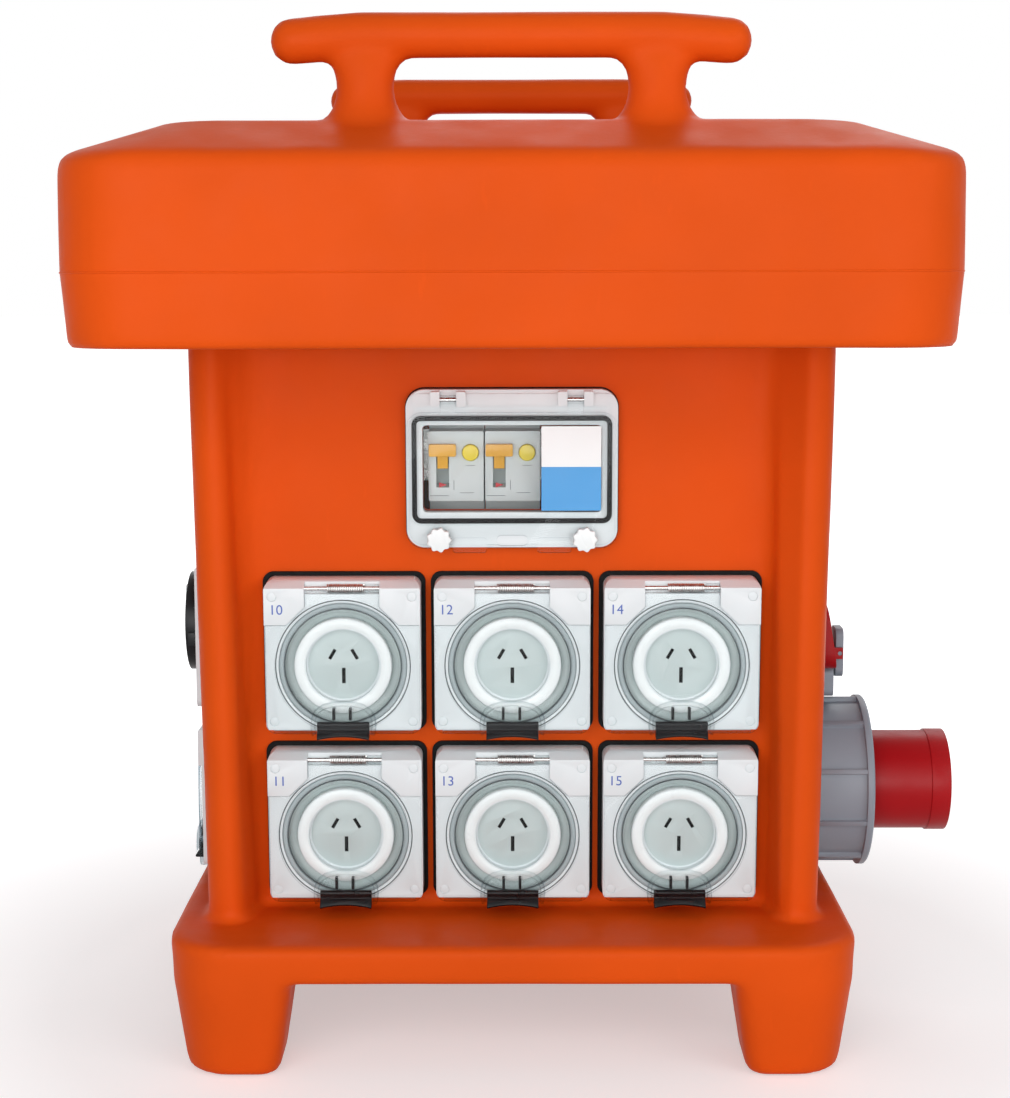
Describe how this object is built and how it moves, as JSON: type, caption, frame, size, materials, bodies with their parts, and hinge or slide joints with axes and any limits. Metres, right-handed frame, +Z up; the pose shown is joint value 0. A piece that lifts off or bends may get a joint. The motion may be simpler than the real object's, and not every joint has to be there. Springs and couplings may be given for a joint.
{
  "type": "portable power distribution box",
  "caption": "Portable power distribution box: moulded orange body with canopy and carrying handles, flap-covered outlets, breaker window, isolator and appliance inlet.",
  "frame": {"origin": "on the floor under the middle of the bounding box", "axes": "+Z up, +Y from the front (outlets and breaker window) to the rear, +X to the right of someone facing the front"},
  "size_m": [0.577, 0.556, 0.6658],
  "materials": {
    "orange_polyethylene": "satin, rotationally moulded",
    "zinc_steel": "zinc plated",
    "black_rubber": "moulded gasket",
    "light_grey_plastic": "satin moulded",
    "socket_face_plastic": "satin moulded",
    "clear_polycarbonate": "clear moulded",
    "black_plastic": "moulded",
    "label_film": "printed film, no text",
    "white_plastic": "moulded",
    "yellow_toggle_plastic": "moulded",
    "yellow_button_plastic": "moulded",
    "ring_grey_plastic": "moulded",
    "red_plastic": "satin moulded",
    "brass": "nickel brass",
    "cable_sheath": "sheathed conductors"
  },
  "bodies": {
    "box": {"lower_body": "orange_polyethylene", "canopy": "orange_polyethylene", "canopy_screws": "zinc_steel", "rear_cover": "orange_polyethylene", "rear_cover_gasket": "black_rubber", "rear_cover_screws": "zinc_steel", "window_gasket": "black_rubber", "window_frame": "light_grey_plastic", "window_hinge_pins": "zinc_steel", "din_rail": "zinc_steel", "breaker_1_case": "light_grey_plastic", "breaker_2_case": "light_grey_plastic", "device_gaskets": "black_rubber", "outlet_sockets": "socket_face_plastic", "outlet_screws": "light_grey_plastic", "flap_hinge_pins": "zinc_steel", "flap_springs": "zinc_steel", "outlet_10_enclosure": "light_grey_plastic", "outlet_11_enclosure": "light_grey_plastic", "outlet_12_enclosure": "light_grey_plastic", "outlet_13_enclosure": "light_grey_plastic", "outlet_14_enclosure": "light_grey_plastic", "outlet_15_enclosure": "light_grey_plastic", "outlet_16_enclosure": "light_grey_plastic", "isolator_box": "light_grey_plastic", "inlet_base": "ring_grey_plastic", "inlet_shroud": "red_plastic", "inlet_pins": "brass", "phase_outlet_base": "ring_grey_plastic", "earth_bar": "brass", "neutral_bar": "brass", "wiring_loom": "cable_sheath"},
    "window_lid": {"window_lid": "clear_polycarbonate", "window_lid_seal": "black_rubber", "window_label": "label_film"},
    "window_knob_left": {"window_knob_left": "white_plastic"},
    "window_knob_right": {"window_knob_right": "white_plastic"},
    "breaker_1_toggle": {"breaker_1_toggle": "yellow_toggle_plastic"},
    "breaker_1_test_button": {"breaker_1_test_button": "yellow_button_plastic"},
    "breaker_2_toggle": {"breaker_2_toggle": "yellow_toggle_plastic"},
    "breaker_2_test_button": {"breaker_2_test_button": "yellow_button_plastic"},
    "outlet_10_flap": {"outlet_10_flap": "clear_polycarbonate"},
    "outlet_10_latch": {"outlet_10_latch": "black_plastic"},
    "outlet_11_flap": {"outlet_11_flap": "clear_polycarbonate"},
    "outlet_11_latch": {"outlet_11_latch": "black_plastic"},
    "outlet_12_flap": {"outlet_12_flap": "clear_polycarbonate"},
    "outlet_12_latch": {"outlet_12_latch": "black_plastic"},
    "outlet_13_flap": {"outlet_13_flap": "clear_polycarbonate"},
    "outlet_13_latch": {"outlet_13_latch": "black_plastic"},
    "outlet_14_flap": {"outlet_14_flap": "clear_polycarbonate"},
    "outlet_14_latch": {"outlet_14_latch": "black_plastic"},
    "outlet_15_flap": {"outlet_15_flap": "clear_polycarbonate"},
    "outlet_15_latch": {"outlet_15_latch": "black_plastic"},
    "outlet_16_flap": {"outlet_16_flap": "clear_polycarbonate"},
    "outlet_16_latch": {"outlet_16_latch": "black_plastic"},
    "isolator_knob": {"isolator_knob": "light_grey_plastic", "isolator_rim": "black_plastic"},
    "inlet_ring": {"inlet_ring": "ring_grey_plastic"},
    "phase_outlet_lid": {"phase_outlet_lid": "red_plastic"},
    "phase_outlet_latch": {"phase_outlet_latch": "ring_grey_plastic"}
  },
  "joints": [
    {"name": "window_lid_hinge", "type": "hinge", "parent": "box", "child": "window_lid", "pos_m": [-0.0215, -0.13518, 0.43174], "axis": [-1, 0, 0], "range_deg": [0, 110]},
    {"name": "window_knob_left_turn", "type": "hinge", "parent": "window_lid", "child": "window_knob_left", "pos_m": [-0.0688, -0.13135, 0.34112], "axis": [0, -0.9988, -0.0488], "range_deg": [0, 90]},
    {"name": "window_knob_right_turn", "type": "hinge", "parent": "window_lid", "child": "window_knob_right", "pos_m": [0.0258, -0.13135, 0.34112], "axis": [0, -0.9988, -0.0488], "range_deg": [0, 90]},
    {"name": "breaker_1_toggle_turn", "type": "hinge", "parent": "box", "child": "breaker_1_toggle", "pos_m": [-0.0668, -0.10475, 0.39078], "axis": [1, 0, 0], "range_deg": [0, 38]},
    {"name": "breaker_1_test_press", "type": "slide", "parent": "box", "child": "breaker_1_test_button", "axis": [0, 0.9988, 0.0488], "range_m": [0, 0.0025], "stiffness_N_per_m": 800},
    {"name": "breaker_2_toggle_turn", "type": "hinge", "parent": "box", "child": "breaker_2_toggle", "pos_m": [-0.0298, -0.10475, 0.39078], "axis": [1, 0, 0], "range_deg": [0, 38]},
    {"name": "breaker_2_test_press", "type": "slide", "parent": "box", "child": "breaker_2_test_button", "axis": [0, 0.9988, 0.0488], "range_m": [0, 0.0025], "stiffness_N_per_m": 800},
    {"name": "outlet_10_flap_hinge", "type": "hinge", "parent": "box", "child": "outlet_10_flap", "pos_m": [-0.132, -0.13712, 0.30968], "axis": [-1, 0, 0], "range_deg": [0, 105], "stiffness_Nm_per_rad": 0.03, "springref_deg": -22.92},
    {"name": "outlet_10_latch_pivot", "type": "hinge", "parent": "outlet_10_flap", "child": "outlet_10_latch", "pos_m": [-0.132, -0.13987, 0.22265], "axis": [-1, 0, 0], "range_deg": [0, 15], "stiffness_Nm_per_rad": 0.02, "springref_deg": -5.73},
    {"name": "outlet_11_flap_hinge", "type": "hinge", "parent": "box", "child": "outlet_11_flap", "pos_m": [-0.132, -0.1315, 0.19482], "axis": [-1, 0, 0], "range_deg": [0, 105], "stiffness_Nm_per_rad": 0.03, "springref_deg": -22.92},
    {"name": "outlet_11_latch_pivot", "type": "hinge", "parent": "outlet_11_flap", "child": "outlet_11_latch", "pos_m": [-0.132, -0.13426, 0.10778], "axis": [-1, 0, 0], "range_deg": [0, 15], "stiffness_Nm_per_rad": 0.02, "springref_deg": -5.73},
    {"name": "outlet_12_flap_hinge", "type": "hinge", "parent": "box", "child": "outlet_12_flap", "pos_m": [-0.0215, -0.13712, 0.30968], "axis": [-1, 0, 0], "range_deg": [0, 105], "stiffness_Nm_per_rad": 0.03, "springref_deg": -22.92},
    {"name": "outlet_12_latch_pivot", "type": "hinge", "parent": "outlet_12_flap", "child": "outlet_12_latch", "pos_m": [-0.0215, -0.13987, 0.22265], "axis": [-1, 0, 0], "range_deg": [0, 15], "stiffness_Nm_per_rad": 0.02, "springref_deg": -5.73},
    {"name": "outlet_13_flap_hinge", "type": "hinge", "parent": "box", "child": "outlet_13_flap", "pos_m": [-0.0215, -0.1315, 0.19482], "axis": [-1, 0, 0], "range_deg": [0, 105], "stiffness_Nm_per_rad": 0.03, "springref_deg": -22.92},
    {"name": "outlet_13_latch_pivot", "type": "hinge", "parent": "outlet_13_flap", "child": "outlet_13_latch", "pos_m": [-0.0215, -0.13426, 0.10778], "axis": [-1, 0, 0], "range_deg": [0, 15], "stiffness_Nm_per_rad": 0.02, "springref_deg": -5.73},
    {"name": "outlet_14_flap_hinge", "type": "hinge", "parent": "box", "child": "outlet_14_flap", "pos_m": [0.089, -0.13712, 0.30968], "axis": [-1, 0, 0], "range_deg": [0, 105], "stiffness_Nm_per_rad": 0.03, "springref_deg": -22.92},
    {"name": "outlet_14_latch_pivot", "type": "hinge", "parent": "outlet_14_flap", "child": "outlet_14_latch", "pos_m": [0.089, -0.13987, 0.22265], "axis": [-1, 0, 0], "range_deg": [0, 15], "stiffness_Nm_per_rad": 0.02, "springref_deg": -5.73},
    {"name": "outlet_15_flap_hinge", "type": "hinge", "parent": "box", "child": "outlet_15_flap", "pos_m": [0.089, -0.1315, 0.19482], "axis": [-1, 0, 0], "range_deg": [0, 105], "stiffness_Nm_per_rad": 0.03, "springref_deg": -22.92},
    {"name": "outlet_15_latch_pivot", "type": "hinge", "parent": "outlet_15_flap", "child": "outlet_15_latch", "pos_m": [0.089, -0.13426, 0.10778], "axis": [-1, 0, 0], "range_deg": [0, 15], "stiffness_Nm_per_rad": 0.02, "springref_deg": -5.73},
    {"name": "outlet_16_flap_hinge", "type": "hinge", "parent": "box", "child": "outlet_16_flap", "pos_m": [-0.2373, 0, 0.1958], "axis": [0, 1, 0], "range_deg": [0, 105], "stiffness_Nm_per_rad": 0.03, "springref_deg": -22.92},
    {"name": "outlet_16_latch_pivot", "type": "hinge", "parent": "outlet_16_flap", "child": "outlet_16_latch", "pos_m": [-0.2443, 0, 0.109], "axis": [0, 1, 0], "range_deg": [0, 15], "stiffness_Nm_per_rad": 0.02, "springref_deg": -5.73},
    {"name": "isolator_knob_turn", "type": "hinge", "parent": "box", "child": "isolator_knob", "pos_m": [-0.241, 0, 0.267], "axis": [1, 0, 0], "range_deg": [0, 90]},
    {"name": "inlet_ring_turn", "type": "hinge", "parent": "box", "child": "inlet_ring", "pos_m": [0.209, 0, 0.15], "axis": [1, 0, 0], "range_deg": [0, 60]},
    {"name": "phase_outlet_lid_hinge", "type": "hinge", "parent": "box", "child": "phase_outlet_lid", "pos_m": [0.195, 0, 0.2845], "axis": [0, -1, 0], "range_deg": [0, 95], "stiffness_Nm_per_rad": 0.03, "springref_deg": -22.92},
    {"name": "phase_outlet_latch_pivot", "type": "hinge", "parent": "phase_outlet_lid", "child": "phase_outlet_latch", "pos_m": [0.2112, 0, 0.2445], "axis": [0, -1, 0], "range_deg": [0, 15], "stiffness_Nm_per_rad": 0.02, "springref_deg": -5.73}
  ]
}
